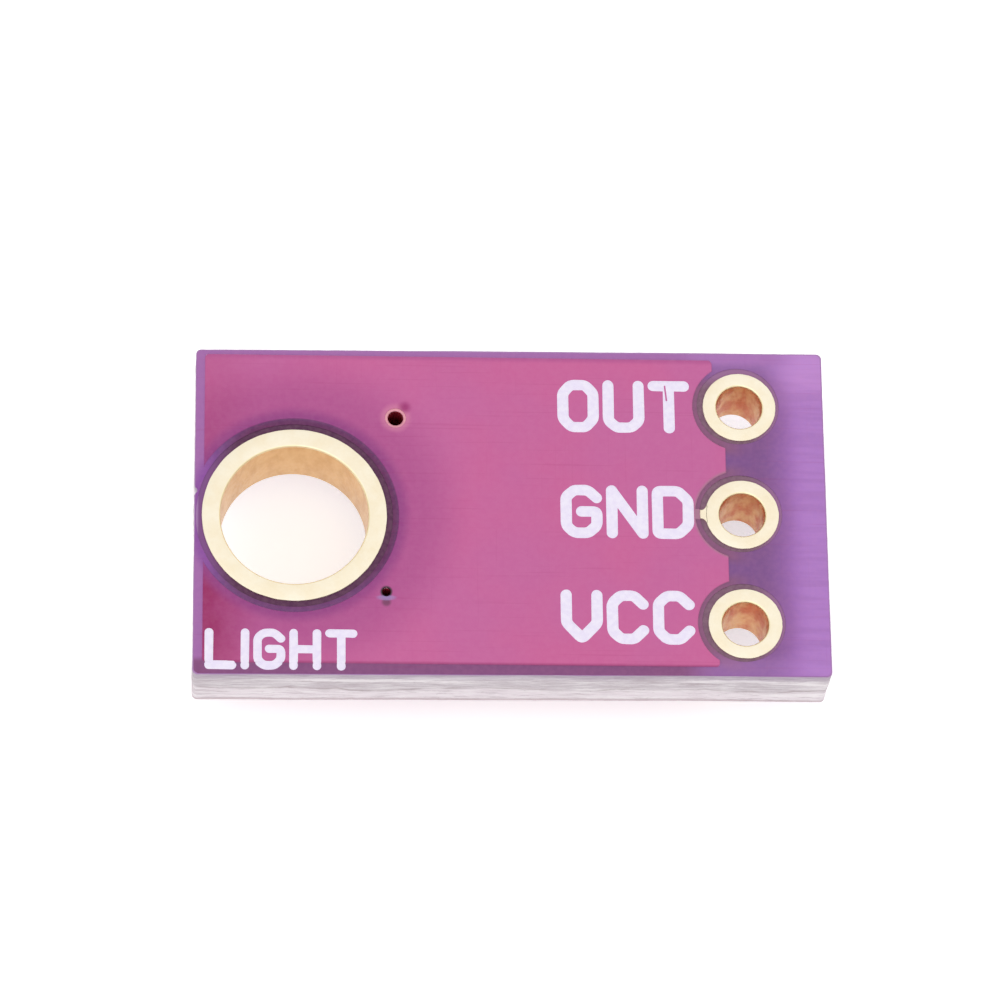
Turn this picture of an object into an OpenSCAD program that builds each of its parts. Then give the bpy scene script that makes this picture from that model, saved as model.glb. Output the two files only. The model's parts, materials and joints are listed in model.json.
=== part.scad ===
// Ambient light sensor breakout board, label side up, standing on the flat face of its sensor.
// X runs along the long side to the pin holes, Y across the board, Z up. Millimetres.
// The origin is under the middle of the board, at the height of the sensor's flat face.

/* [Board] */
// Length of the board
board_w = 13.7; // [12:0.1:25]
// Width of the board
board_d = 7.6; // [7:0.1:15]
// Thickness of the glass and epoxy laminate without its copper
laminate_t = 1.53; // [0.6:0.01:3.2]
// Radius of the board's four corners
corner_r = 0.12; // [0.02:0.02:0.5]

/* [Copper and mask] */
// Thickness of the outer copper
foil_t = 0.035; // [0.018:0.001:0.07]
// Thickness of the metal finish on copper that the mask leaves open
finish_t = 0.005; // [0.002:0.001:0.01]
// Wall of the copper barrel inside a plated hole
barrel_t = 0.025; // [0.02:0.005:0.04]
// Thickness of the solder mask, over copper and over laminate
mask_t = 0.02; // [0.012:0.002:0.03]
// Bare laminate from the board's edge to the mask
mask_inset = 0.03; // [0.01:0.01:0.1]
// Ring of bare laminate between a pin pad and the mask
pad_opening = 0.1; // [0.05:0.01:0.15]
// Ring of bare laminate between the mounting ring and the mask
mount_opening = 0.13; // [0.05:0.01:0.2]

/* [Pin holes] */
// Distance between neighbouring pin holes
pin_pitch = 2.54; // [2.1:0.01:2.6]
// Distance from the pin holes to the board's right edge
pin_inset = 1.81; // [1.4:0.01:2.4]
// Finished diameter of a pin hole
pin_hole_d = 1; // [0.7:0.05:1.3]
// Diameter of the pad around a pin hole
pin_pad_d = 1.6; // [1.4:0.05:1.8]

/* [Mounting hole] */
// Distance from the mounting hole to the board's left edge
mount_inset = 2.17; // [2.1:0.01:3]
// Distance of the mounting hole from the board's middle line, positive towards the back
mount_y = -0.13; // [-0.5:0.01:0.5]
// Finished diameter of the mounting hole
mount_hole_d = 3.2; // [2.2:0.1:3.7]
// Diameter of the ring around the mounting hole
mount_ring_d = 4; // [3.8:0.05:4.1]

/* [Ground area] */
// Bare margin of the ground area at the board's left edge
ground_left = 0.23; // [0.15:0.01:0.5]
// Bare margin of the ground area at the board's back edge
ground_back = 0.18; // [0.15:0.01:0.5]
// Bare margin of the ground area at the board's front edge
ground_front = 0.27; // [0.15:0.01:0.5]
// Distance from the pin holes to the ground area's edge between them
ground_right = 0.35; // [0.2:0.01:0.5]
// Distance from the pin holes to the ground area's ends beside the outer pads
ground_ends = 0.6; // [0.5:0.01:0.9]
// Gap between the ground area and a pin pad
pad_gap = 0.25; // [0.2:0.01:0.35]
// Gap between the ground area and the mounting ring
mount_gap = 0.28; // [0.25:0.01:0.45]
// Gap between the ground area and a track or a land
copper_gap = 0.22; // [0.15:0.01:0.3]
// Width of a spoke that joins a pad or a land to the ground area
spoke_w = 0.2; // [0.12:0.01:0.35]

/* [Tracks and vias] */
// Width of the signal and supply tracks
track_w = 0.4; // [0.2:0.01:0.6]
// Diameter of a via's hole
via_hole_d = 0.33; // [0.2:0.01:0.38]
// Diameter of a via's ring
via_ring_d = 0.5; // [0.46:0.01:0.6]
// Distance of the upper via from the mounting hole, along the board
upper_via_x = 2.19; // [2:0.01:2.4]
// Distance of the upper via from the mounting hole, across the board
upper_via_y = 2.3; // [2.1:0.01:2.5]
// Distance of the lower via from the mounting hole, along the board
lower_via_x = 1.98; // [1.95:0.01:2.3]
// Distance of the lower via from the mounting hole, across the board
lower_via_y = -1.85; // [-2.2:0.01:-1.8]

/* [Sensor] */
// Distance of the sensor from the board's middle, positive towards the pin holes
sensor_x = 0.25; // [0:0.05:0.4]
// Length of the sensor over its terminals, across the board
sensor_l = 4; // [3.4:0.1:4.4]
// Width of the sensor
sensor_w = 2; // [1.6:0.1:2.3]
// Height of the sensor above the solder
sensor_h = 1.05; // [0.95:0.05:1.5]
// Thickness of the sensor's carrier plate
carrier_t = 0.3; // [0.2:0.02:0.4]
// Thickness of the sensor's terminal metal
terminal_t = 0.03; // [0.02:0.005:0.05]
// Length of a terminal on the face that is soldered
terminal_l = 0.6; // [0.4:0.05:0.9]
// Radius of the half-round notch in each end of the sensor
notch_r = 0.25; // [0.15:0.01:0.35]
// Length of the clear moulding at its foot
moulding_l = 3; // [2.7:0.05:3.2]
// Slope of the moulding's ends, in degrees
moulding_draft = 6; // [0:1:10]
// Side of the square light-sensitive chip
die_side = 0.75; // [0.5:0.05:0.8]
// Thickness of the chip
die_t = 0.2; // [0.1:0.01:0.25]
// Metal that shows round the chip on each side
die_margin = 0.07; // [0.04:0.01:0.12]
// Width of the metal strips that lead in to the chip and to the wire
lead_w = 0.3; // [0.2:0.02:0.5]
// Thickness of the adhesive under the chip
adhesive_t = 0.02; // [0.01:0.005:0.03]
// Diameter of the bond wire
wire_d = 0.03; // [0.02:0.005:0.05]
// Distance from the chip's middle to the wire's foot on the chip
wire_start = 0.19; // [0.1:0.01:0.22]
// Distance between the two feet of the bond wire
wire_span = 0.6; // [0.54:0.02:0.7]

/* [Resistor] */
// Gap between the sensor and the resistor
resistor_gap = 0.65; // [0.5:0.05:0.9]
// Length of the resistor over its end caps
resistor_l = 1.6; // [1.2:0.1:1.8]
// Width of the resistor
resistor_w = 0.8; // [0.6:0.05:0.9]
// Height of the resistor
resistor_h = 0.45; // [0.35:0.01:0.55]
// Length of an end cap along the resistor
cap_l = 0.3; // [0.2:0.02:0.35]
// Thickness of an end cap's metal
cap_t = 0.03; // [0.02:0.005:0.04]
// Thickness of the resistive film
film_t = 0.012; // [0.006:0.002:0.016]
// Margin from the resistive film to the resistor's long sides
film_margin = 0.12; // [0.08:0.01:0.2]

/* [Solder] */
// Height of the solder between a land and the part on it
solder_t = 0.05; // [0.035:0.005:0.08]
// Radius of the solder fillet at the end of a part
fillet_r = 0.28; // [0.15:0.01:0.3]
// Length of a land beyond the solder fillet
land_toe = 0.08; // [0.04:0.01:0.12]
// Width that a land has beyond the part on each side
land_side = 0.06; // [0.03:0.01:0.1]

/* [Hidden] */
$fn = 64;
// How far a cutting shape runs past the face that it cuts
over = 0.1;
// How far the shapes of one piece run into each other
join = 0.005;

// Heights of the laminate's two faces above the sensor's flat face
under_z = sensor_h + solder_t + foil_t;
top_z = under_z + laminate_t;
// Places of the pin holes and the mounting hole
pin_x = board_w / 2 - pin_inset;
mount_x = mount_inset - board_w / 2;
out_y = pin_pitch;
supply_y = -pin_pitch;
ring_t = foil_t + finish_t;
// Radii of the mask's openings and of the ground area's clearances
pad_open_r = pin_pad_d / 2 + pad_opening;
mount_open_r = mount_ring_d / 2 + mount_opening;
pad_clear_r = pin_pad_d / 2 + pad_gap;
mount_clear_r = mount_ring_d / 2 + mount_gap;
// Places of the vias
upper_via_at = [mount_x + upper_via_x, mount_y + upper_via_y];
lower_via_at = [mount_x + lower_via_x, mount_y + lower_via_y];
// The sensor's levels above the solder: carrier, inner metal and chip
carrier_z = terminal_t;
inner_z = carrier_z + carrier_t;
die_z = inner_z + terminal_t + adhesive_t;
// Lands under the sensor's ends and the resistor's ends
sensor_land_l = terminal_l + fillet_r + land_toe;
sensor_land_y = sensor_l / 2 - terminal_l + sensor_land_l / 2;
resistor_x = sensor_x + sensor_w / 2 + resistor_gap + resistor_w / 2;
resistor_land_l = cap_l + fillet_r + land_toe;
resistor_land_y = resistor_l / 2 - cap_l + resistor_land_l / 2;
// Metal strip across each end of the sensor, which runs in under the moulding's foot
end_strip_l = (sensor_l - moulding_l) / 2 + terminal_t;
// Side of the metal pad under the chip, and the place of the wire's foot beside it
die_pad_side = die_side + 2 * die_margin;
wire_y = wire_start + wire_span;

// Square plate outline with round corners, drawn in from the board's edge
module board_outline(inset) {
  w = board_w - 2 * inset;
  d = board_d - 2 * inset;
  square([w - 2 * corner_r, d], center = true);
  square([w, d - 2 * corner_r], center = true);
  for (sx = [-1, 1], sy = [-1, 1])
    translate([sx * (w / 2 - corner_r), sy * (d / 2 - corner_r)])
      circle(corner_r);
}

// Children on the label side, with z = 0 on the laminate
module on_top() {
  translate([0, 0, top_z])
    children();
}

// Children on the sensor side, with z = 0 on the laminate and z growing downwards
module on_underside() {
  translate([0, 0, under_z])
    mirror([0, 0, 1])
      children();
}

// Children on the solder of the underside, at the middle of the sensor
module on_sensor_seat() {
  on_underside()
    translate([sensor_x, 0, foil_t + solder_t])
      children();
}

// Children on the solder of the underside, at the middle of the resistor
module on_resistor_seat() {
  on_underside()
    translate([resistor_x, 0, foil_t + solder_t])
      children();
}

// Straight piece of track with round ends
module track(from, to, w) {
  run = to - from;
  translate(from)
    rotate(atan2(run[1], run[0]))
      translate([0, -w / 2])
        square([norm(run), w]);
  for (end = [from, to])
    translate(end)
      circle(w / 2);
}

// Track from a pin hole to the land at one end of the sensor, with a bend of 45 degrees
module track_to_sensor(pin_y, side, grow) {
  land = [sensor_x, side * sensor_land_y];
  bend = [pin_x - abs(pin_y - land[1]), land[1]];
  track([pin_x, pin_y], bend, track_w + 2 * grow);
  track(bend, land, track_w + 2 * grow);
}

// Rectangular land for one end of the sensor
module sensor_land(side, grow) {
  translate([sensor_x, side * sensor_land_y])
    square([sensor_w + 2 * (land_side + grow), sensor_land_l + 2 * grow], center = true);
}

// Rectangular land for one end of the resistor
module resistor_land(side, grow) {
  translate([resistor_x, side * resistor_land_y])
    square([resistor_w + 2 * (land_side + grow), resistor_land_l + 2 * grow], center = true);
}

// Signal copper: the output pin, the sensor's emitter and the resistor's first end
module signal_shape(grow) {
  track_to_sensor(out_y, 1, grow);
  track([resistor_x, sensor_land_y], [resistor_x, resistor_land_y], track_w + 2 * grow);
  sensor_land(1, grow);
  resistor_land(1, grow);
}

// Supply copper: the supply pin and the sensor's collector
module supply_shape(grow) {
  track_to_sensor(supply_y, -1, grow);
  sensor_land(-1, grow);
}

// Spoke from the ground area to the ground pin's pad
module pin_spoke(grow) {
  w = spoke_w + 2 * grow;
  translate([pin_x - pad_clear_r - over, -w / 2])
    square([pad_clear_r + over, w]);
}

// Ground area that both faces share, with its clearances round the plated holes
module ground_area(grow) {
  left = -board_w / 2 + ground_left - grow;
  front = -board_d / 2 + ground_front - grow;
  back = board_d / 2 - ground_back + grow;
  ends = pin_x - ground_ends + grow;
  between = pin_x - ground_right + grow;
  difference() {
    union() {
      translate([left, front])
        square([ends - left, back - front]);
      translate([left, supply_y])
        square([between - left, out_y - supply_y]);
    }
    for (y = [supply_y, 0, out_y])
      translate([pin_x, y])
        circle(pad_clear_r - grow);
    translate([mount_x, mount_y])
      circle(mount_clear_r - grow);
  }
}

// Ground copper on the label side
module top_ground_shape(grow) {
  ground_area(grow);
  pin_spoke(grow);
}

// Ground copper on the sensor side, cleared round the tracks, with the resistor's second land
module bottom_ground_shape(grow) {
  difference() {
    ground_area(grow);
    signal_shape(copper_gap - grow);
    supply_shape(copper_gap - grow);
    resistor_land(-1, copper_gap - grow);
  }
  pin_spoke(grow);
  resistor_land(-1, grow);
  spoke_l = resistor_w + 2 * (land_side + copper_gap + over);
  translate([resistor_x, -resistor_land_y])
    square([spoke_l, spoke_w + 2 * grow], center = true);
}

// Holes that the mask and the copper leave for the plated holes
module pad_openings() {
  for (y = [supply_y, 0, out_y])
    translate([pin_x, y])
      circle(pad_open_r);
  translate([mount_x, mount_y])
    circle(mount_open_r);
}

// Disc at each via
module via_discs(d) {
  for (at = [upper_via_at, lower_via_at])
    translate(at)
      circle(d = d);
}

// Copper sheet of a given shape, open round the plated holes
module foil() {
  linear_extrude(foil_t)
    difference() {
      children();
      pad_openings();
      via_discs(via_ring_d);
    }
}

// Barrel with a ring on each face; children are the outlines of copper that run into the rings
module plated_hole(hole_d, ring_d, top_ring_t, bottom_ring_t) {
  difference() {
    union() {
      translate([0, 0, -bottom_ring_t])
        cylinder(d = ring_d, h = bottom_ring_t);
      cylinder(d = hole_d + 2 * barrel_t, h = laminate_t);
      translate([0, 0, laminate_t])
        cylinder(d = ring_d, h = top_ring_t);
    }
    translate([0, 0, -bottom_ring_t - over])
      cylinder(d = hole_d, h = laminate_t + bottom_ring_t + top_ring_t + 2 * over);
  }
}

// Plated pin hole at a given place across the board
module pin_pad(y) {
  translate([pin_x, y, under_z])
    plated_hole(pin_hole_d, pin_pad_d, ring_t, ring_t);
}

// Part of a copper shape that shows in a pad's opening, from the pad's ring outwards
module opening_copper(y) {
  linear_extrude(ring_t)
    difference() {
      intersection() {
        children();
        translate([pin_x, y])
          circle(pad_open_r);
      }
      translate([pin_x, y])
        circle(pin_pad_d / 2 - join);
    }
}

// Straight hole through the laminate
module drilled(at, d) {
  translate([at[0], at[1], -over])
    cylinder(d = d, h = laminate_t + 2 * over);
}

// Glass and epoxy core with its six drilled holes
module pcb_laminate() {
  color([0.82, 0.78, 0.76])
    translate([0, 0, under_z])
      difference() {
        linear_extrude(laminate_t)
          board_outline(0);
        for (y = [supply_y, 0, out_y])
          drilled([pin_x, y], pin_hole_d + 2 * barrel_t);
        drilled([mount_x, mount_y], mount_hole_d + 2 * barrel_t);
        for (at = [upper_via_at, lower_via_at])
          drilled(at, via_hole_d + 2 * barrel_t);
      }
}

module top_ground_foil() {
  color([0.80, 0.50, 0.34])
    on_top()
      foil()
        top_ground_shape(0);
}

module bottom_ground_foil() {
  color([0.80, 0.50, 0.34])
    on_underside()
      foil()
        bottom_ground_shape(0);
}

module signal_track() {
  color([0.80, 0.50, 0.34])
    on_underside()
      foil()
        signal_shape(0);
}

module supply_track() {
  color([0.80, 0.50, 0.34])
    on_underside()
      foil()
        supply_shape(0);
}

// Thin film over the laminate that rises over the top copper; only the upper via is left open
module top_mask() {
  color([0.76, 0.40, 0.62])
    on_top()
      difference() {
        union() {
          linear_extrude(mask_t)
            board_outline(mask_inset);
          linear_extrude(foil_t + mask_t)
            top_ground_shape(mask_t);
        }
        translate([0, 0, -over])
          linear_extrude(foil_t + over)
            top_ground_shape(0);
        translate([0, 0, -over])
          linear_extrude(foil_t + mask_t + 2 * over) {
            pad_openings();
            translate(upper_via_at)
              circle(d = via_ring_d);
          }
      }
}

// The same film on the sensor side, open at the lands
module bottom_mask() {
  color([0.76, 0.40, 0.62])
    on_underside()
      difference() {
        union() {
          linear_extrude(mask_t)
            board_outline(mask_inset);
          linear_extrude(foil_t + mask_t) {
            bottom_ground_shape(mask_t);
            signal_shape(mask_t);
            supply_shape(mask_t);
          }
        }
        translate([0, 0, -over])
          linear_extrude(foil_t + over) {
            bottom_ground_shape(0);
            signal_shape(0);
            supply_shape(0);
          }
        translate([0, 0, -over])
          linear_extrude(foil_t + mask_t + 2 * over) {
            pad_openings();
            for (side = [-1, 1]) {
              sensor_land(side, land_side);
              resistor_land(side, land_side);
            }
          }
      }
}

module mounting_hole_plating() {
  color([0.94, 0.83, 0.60])
    translate([mount_x, mount_y, under_z])
      plated_hole(mount_hole_d, mount_ring_d, ring_t, ring_t);
}

module pad_out() {
  color([0.94, 0.83, 0.60]) {
    pin_pad(out_y);
    on_underside()
      opening_copper(out_y)
        signal_shape(0);
  }
}

module pad_ground() {
  color([0.94, 0.83, 0.60]) {
    pin_pad(0);
    on_top()
      opening_copper(0)
        pin_spoke(0);
    on_underside()
      opening_copper(0)
        pin_spoke(0);
  }
}

module pad_supply() {
  color([0.94, 0.83, 0.60]) {
    pin_pad(supply_y);
    on_underside()
      opening_copper(supply_y)
        supply_shape(0);
  }
}

// Via with its ring open on the label side
module upper_via() {
  color([0.94, 0.83, 0.60])
    translate([upper_via_at[0], upper_via_at[1], under_z])
      plated_hole(via_hole_d, via_ring_d, ring_t, foil_t);
}

// Via that the mask covers on both sides
module lower_via() {
  color([0.80, 0.50, 0.34])
    translate([lower_via_at[0], lower_via_at[1], under_z])
      plated_hole(via_hole_d, via_ring_d, foil_t, foil_t);
}

// Upright half-round notch in one end of the sensor
module end_notch(side, r) {
  translate([0, side * sensor_l / 2, -over])
    cylinder(r = r, h = inner_z + terminal_t + 2 * over);
}

module carrier_block() {
  l = sensor_l - 2 * terminal_t;
  translate([-sensor_w / 2, -l / 2, carrier_z])
    cube([sensor_w, l, carrier_t]);
}

module sensor_carrier() {
  color([0.86, 0.84, 0.74])
    on_sensor_seat()
      difference() {
        carrier_block();
        for (side = [-1, 1])
          end_notch(side, notch_r + terminal_t);
      }
}

// Outline of the metal on the carrier's inner face, leading in to lead_y and ending in a square pad
module inner_metal(side, lead_y, pad_side) {
  strip_y = side * sensor_l / 2;
  translate([-sensor_w / 2, min(strip_y, strip_y - side * end_strip_l)])
    square([sensor_w, end_strip_l]);
  translate([-lead_w / 2, min(strip_y, lead_y)])
    square([lead_w, abs(strip_y - lead_y)]);
  translate([0, lead_y])
    square(pad_side, center = true);
}

// Metal that wraps one end of the carrier from the soldered face to the inner face
module end_terminal(side, lead_y, pad_side) {
  end_y = side * sensor_l / 2;
  difference() {
    union() {
      translate([-sensor_w / 2, min(end_y, end_y - side * terminal_l), 0])
        cube([sensor_w, terminal_l, terminal_t]);
      translate([-sensor_w / 2, min(end_y, end_y - side * terminal_t), 0])
        cube([sensor_w, terminal_t, inner_z + terminal_t]);
      translate([0, 0, inner_z])
        linear_extrude(terminal_t)
          inner_metal(side, lead_y, pad_side);
      intersection() {
        end_notch(side, notch_r + terminal_t);
        translate([-sensor_w / 2, -sensor_l / 2, 0])
          cube([sensor_w, sensor_l, inner_z + terminal_t]);
      }
    }
    end_notch(side, notch_r);
  }
}

module emitter_terminal() {
  color([0.92, 0.80, 0.52])
    on_sensor_seat()
      end_terminal(1, wire_y, lead_w);
}

module collector_terminal() {
  color([0.92, 0.80, 0.52])
    on_sensor_seat()
      end_terminal(-1, 0, die_pad_side);
}

module die_block() {
  translate([-die_side / 2, -die_side / 2, die_z])
    cube([die_side, die_side, die_t]);
}

module adhesive_block() {
  translate([-die_pad_side / 2, -die_pad_side / 2, die_z - adhesive_t])
    cube([die_pad_side, die_pad_side, adhesive_t]);
}

// Wire that stands on the chip, arches over its edge and comes down on the emitter's metal
module wire_arch() {
  arch_r = wire_span / 2;
  top = die_z + die_t;
  translate([0, wire_y - arch_r, top])
    rotate([90, 0, 90])
      rotate_extrude(angle = 180)
        translate([arch_r, 0])
          circle(d = wire_d);
  translate([0, wire_y, inner_z + terminal_t])
    cylinder(d = wire_d, h = top - inner_z - terminal_t);
}

module sensor_die() {
  color([0.12, 0.12, 0.14])
    on_sensor_seat()
      die_block();
}

module die_adhesive() {
  color([0.60, 0.60, 0.62])
    on_sensor_seat()
      adhesive_block();
}

module bond_wire() {
  color([0.90, 0.74, 0.36])
    on_sensor_seat()
      wire_arch();
}

// Clear block with sloping ends, cast over the chip, the wire and the inner metal
module sensor_moulding() {
  h = sensor_h - inner_z;
  foot = moulding_l / 2;
  crown = foot - h * tan(moulding_draft);
  color([0.90, 0.92, 0.88, 0.5])
    on_sensor_seat()
      difference() {
        translate([-sensor_w / 2, 0, inner_z])
          rotate([90, 0, 90])
            linear_extrude(sensor_w)
              polygon([[-foot, 0], [foot, 0], [crown, h], [-crown, h]]);
        translate([0, 0, inner_z - over])
          linear_extrude(terminal_t + over) {
            inner_metal(1, wire_y, lead_w);
            inner_metal(-1, 0, die_pad_side);
          }
        adhesive_block();
        die_block();
        wire_arch();
      }
}

module ceramic_block() {
  l = resistor_l - 2 * cap_t;
  translate([-resistor_w / 2, -l / 2, cap_t])
    cube([resistor_w, l, resistor_h - 2 * cap_t]);
}

module film_block() {
  w = resistor_w - 2 * film_margin;
  l = resistor_l - 2 * cap_l;
  translate([-w / 2, -l / 2, resistor_h - cap_t])
    cube([w, l, film_t]);
}

module resistor_ceramic() {
  color([0.90, 0.90, 0.88])
    on_resistor_seat()
      ceramic_block();
}

module resistor_film() {
  color([0.16, 0.16, 0.17])
    on_resistor_seat()
      film_block();
}

module resistor_glaze() {
  l = resistor_l - 2 * cap_l;
  color([0.06, 0.06, 0.07])
    on_resistor_seat()
      difference() {
        translate([-resistor_w / 2, -l / 2, resistor_h - cap_t])
          cube([resistor_w, l, cap_t]);
        film_block();
      }
}

// Metal cap round one end of the ceramic
module end_cap(side) {
  y = side * resistor_l / 2;
  difference() {
    translate([-resistor_w / 2, min(y, y - side * cap_l), 0])
      cube([resistor_w, cap_l, resistor_h]);
    ceramic_block();
  }
}

module resistor_signal_cap() {
  color([0.78, 0.78, 0.80])
    on_resistor_seat()
      end_cap(1);
}

module resistor_ground_cap() {
  color([0.78, 0.78, 0.80])
    on_resistor_seat()
      end_cap(-1);
}

// Solder under one end of a part, with a hollow fillet up its end face; the end face is at y = 0
module solder_joint(w, seat_l) {
  translate([-w / 2, 0, 0])
    rotate([90, 0, 90])
      linear_extrude(w) {
        translate([-seat_l, 0])
          square([seat_l + fillet_r, solder_t]);
        translate([0, solder_t])
          difference() {
            square(fillet_r);
            translate([fillet_r, fillet_r])
              circle(fillet_r);
          }
      }
}

// Solder joint at one end of the sensor, running up into the notch
module sensor_solder(side) {
  on_underside()
    translate([sensor_x, side * sensor_l / 2, foil_t])
      mirror([0, side < 0 ? 1 : 0, 0]) {
        solder_joint(sensor_w, terminal_l);
        intersection() {
          translate([0, 0, solder_t - join])
            cylinder(r = notch_r, h = fillet_r);
          translate([-notch_r, -notch_r, 0])
            cube([2 * notch_r, notch_r, solder_t + fillet_r]);
        }
      }
}

// Solder joint at one end of the resistor
module resistor_solder(side) {
  on_underside()
    translate([resistor_x, side * resistor_l / 2, foil_t])
      mirror([0, side < 0 ? 1 : 0, 0])
        solder_joint(resistor_w, cap_l);
}

module emitter_solder() {
  color([0.74, 0.75, 0.77])
    sensor_solder(1);
}

module collector_solder() {
  color([0.74, 0.75, 0.77])
    sensor_solder(-1);
}

module resistor_signal_solder() {
  color([0.74, 0.75, 0.77])
    resistor_solder(1);
}

module resistor_ground_solder() {
  color([0.74, 0.75, 0.77])
    resistor_solder(-1);
}

pcb_laminate();
top_ground_foil();
bottom_ground_foil();
signal_track();
supply_track();
top_mask();
bottom_mask();
mounting_hole_plating();
pad_out();
pad_ground();
pad_supply();
upper_via();
lower_via();
sensor_carrier();
emitter_terminal();
collector_terminal();
sensor_die();
die_adhesive();
bond_wire();
sensor_moulding();
resistor_ceramic();
resistor_film();
resistor_glaze();
resistor_signal_cap();
resistor_ground_cap();
emitter_solder();
collector_solder();
resistor_signal_solder();
resistor_ground_solder();
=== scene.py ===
import json
import math

import bmesh
import bpy
from mathutils import Matrix, Vector, noise
from mathutils.geometry import delaunay_2d_cdt


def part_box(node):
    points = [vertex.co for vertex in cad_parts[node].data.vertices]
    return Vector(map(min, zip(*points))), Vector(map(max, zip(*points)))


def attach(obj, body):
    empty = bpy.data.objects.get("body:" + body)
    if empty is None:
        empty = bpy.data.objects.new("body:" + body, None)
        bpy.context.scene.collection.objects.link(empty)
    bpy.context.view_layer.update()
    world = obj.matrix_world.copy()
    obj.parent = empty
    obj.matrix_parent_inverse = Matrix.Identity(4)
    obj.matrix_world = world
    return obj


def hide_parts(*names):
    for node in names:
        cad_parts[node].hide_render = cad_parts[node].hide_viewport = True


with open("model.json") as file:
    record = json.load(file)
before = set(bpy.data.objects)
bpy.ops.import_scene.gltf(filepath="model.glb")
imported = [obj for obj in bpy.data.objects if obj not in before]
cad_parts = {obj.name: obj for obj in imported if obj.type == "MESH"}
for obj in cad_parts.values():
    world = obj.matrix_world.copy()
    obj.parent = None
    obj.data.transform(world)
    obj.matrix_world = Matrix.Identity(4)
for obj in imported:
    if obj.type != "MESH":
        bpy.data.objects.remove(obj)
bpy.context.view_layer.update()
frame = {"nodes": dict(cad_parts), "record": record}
nodes = frame["nodes"]

# Shapes are worked out in millimetres and turned into metres when a mesh is made.
MM = 0.001


def limits(node):
    """Lowest and highest corner of a CAD node, in millimetres."""
    low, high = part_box(node)
    return Vector(low) / MM, Vector(high) / MM


def mount(name):
    """Middle and radius of one of the record's holes, in millimetres."""
    found = next(m for m in frame["record"]["mounts"] if m["name"] == name)
    return Vector(found["pos_m"]) / MM, found["dims"]["r_mm"]


# Levels and places that come from the frame
BOARD_LOW, BOARD_HIGH = limits("pcb_laminate")
FOIL_LOW, FOIL_HIGH = limits("top_ground_foil")
MASK_LOW, MASK_HIGH = limits("top_mask")
UNDER_Z = BOARD_LOW.z
TOP_Z = BOARD_HIGH.z
MID_Z = (UNDER_Z + TOP_Z) / 2
FOIL_T = FOIL_HIGH.z - FOIL_LOW.z
MASK_T = MASK_HIGH.z - FOIL_HIGH.z
RING_T = limits("pad_supply")[1].z - TOP_Z
MOUNT, MOUNT_BORE_R = mount("mounting_hole")
PINS = [mount(name)[0] for name in ("out_pin_hole", "ground_pin_hole", "supply_pin_hole")]
PIN_BORE_R = mount("out_pin_hole")[1]
PIN_X = PINS[0].x
OUT_Y = PINS[0].y
PIN_RING_R = limits("pad_supply")[1].x - PIN_X
MOUNT_RING_R = limits("mounting_hole_plating")[1].x - MOUNT.x
UPPER_VIA = (limits("upper_via")[0] + limits("upper_via")[1]) / 2
LOWER_VIA = (limits("lower_via")[0] + limits("lower_via")[1]) / 2
VIA_RING_R = limits("upper_via")[1].x - UPPER_VIA.x
SENSOR_LOW, SENSOR_HIGH = limits("sensor_carrier")
SENSOR_X = (SENSOR_LOW.x + SENSOR_HIGH.x) / 2
SENSOR_W = SENSOR_HIGH.x - SENSOR_LOW.x
SENSOR_END = limits("emitter_terminal")[1].y
RESISTOR_LOW, RESISTOR_HIGH = limits("resistor_ceramic")
RESISTOR_X = (RESISTOR_LOW.x + RESISTOR_HIGH.x) / 2
RESISTOR_W = RESISTOR_HIGH.x - RESISTOR_LOW.x
RESISTOR_END = limits("resistor_signal_cap")[1].y

# Sizes that the frame's boxes don't show, as in the part's source
BARREL_T = 0.025
VIA_BORE_R = 0.165
BOARD_CORNER_R = 0.12
PIN_OPENING = 0.1
MOUNT_OPENING = 0.13
PIN_CLEARANCE = 0.25
MOUNT_CLEARANCE = 0.28
GROUND_STEP = 0.25
COPPER_GAP = 0.22
TRACK_W = 0.4
SPOKE_W = 0.2
TERMINAL_L = 0.6
CAP_L = 0.3
LAND_SIDE = 0.06
LAND_RUN = 0.36

# The mask's openings round the pins lie a little off, as printed masks do
MASK_SHIFT = Vector((-0.03, 0.03))

# Sizes of the finish
COPPER_CORNER_R = 0.07
MASK_SLOPE = 0.045
FILM_ROUND = 0.02
CIRCLE_STEP = 0.06
CORNER_STEPS = 6
FILLET_STEPS = 6
SAWN_TURN = 0.0075
SAWN_SHIFT = Vector((0.04, 0.019))
SAWN_MOST = 0.05
PLY_COUNT = 4
TORN_R = 0.095
NICK_Y = 0.45
NICK_R = 0.07
NICK_DEPTH = 0.06
WALL_COLUMN = 0.05
WALL_ROWS = 42


# Shapes in the plane: each gives its distance, negative inside, and its outline.

class Box:
    """Rectangle with round corners."""

    def __init__(self, x0, x1, y0, y1, corner=COPPER_CORNER_R):
        self.cx, self.cy = (x0 + x1) / 2, (y0 + y1) / 2
        self.hx, self.hy = (x1 - x0) / 2, (y1 - y0) / 2
        self.corner = corner

    def distance(self, x, y):
        dx = abs(x - self.cx) - self.hx + self.corner
        dy = abs(y - self.cy) - self.hy + self.corner
        outside = math.hypot(max(dx, 0), max(dy, 0))
        return outside + min(max(dx, dy), 0) - self.corner

    def outline(self, grow):
        r = max(self.corner + grow, 0)
        ax, ay = self.hx - self.corner, self.hy - self.corner
        points = []
        for quarter, (sx, sy) in enumerate(((1, 1), (-1, 1), (-1, -1), (1, -1))):
            for i in range(CORNER_STEPS + 1):
                turn = (quarter + i / CORNER_STEPS) * math.pi / 2
                x = self.cx + sx * ax + r * math.cos(turn)
                y = self.cy + sy * ay + r * math.sin(turn)
                points.append((x, y))
        return points


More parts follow.
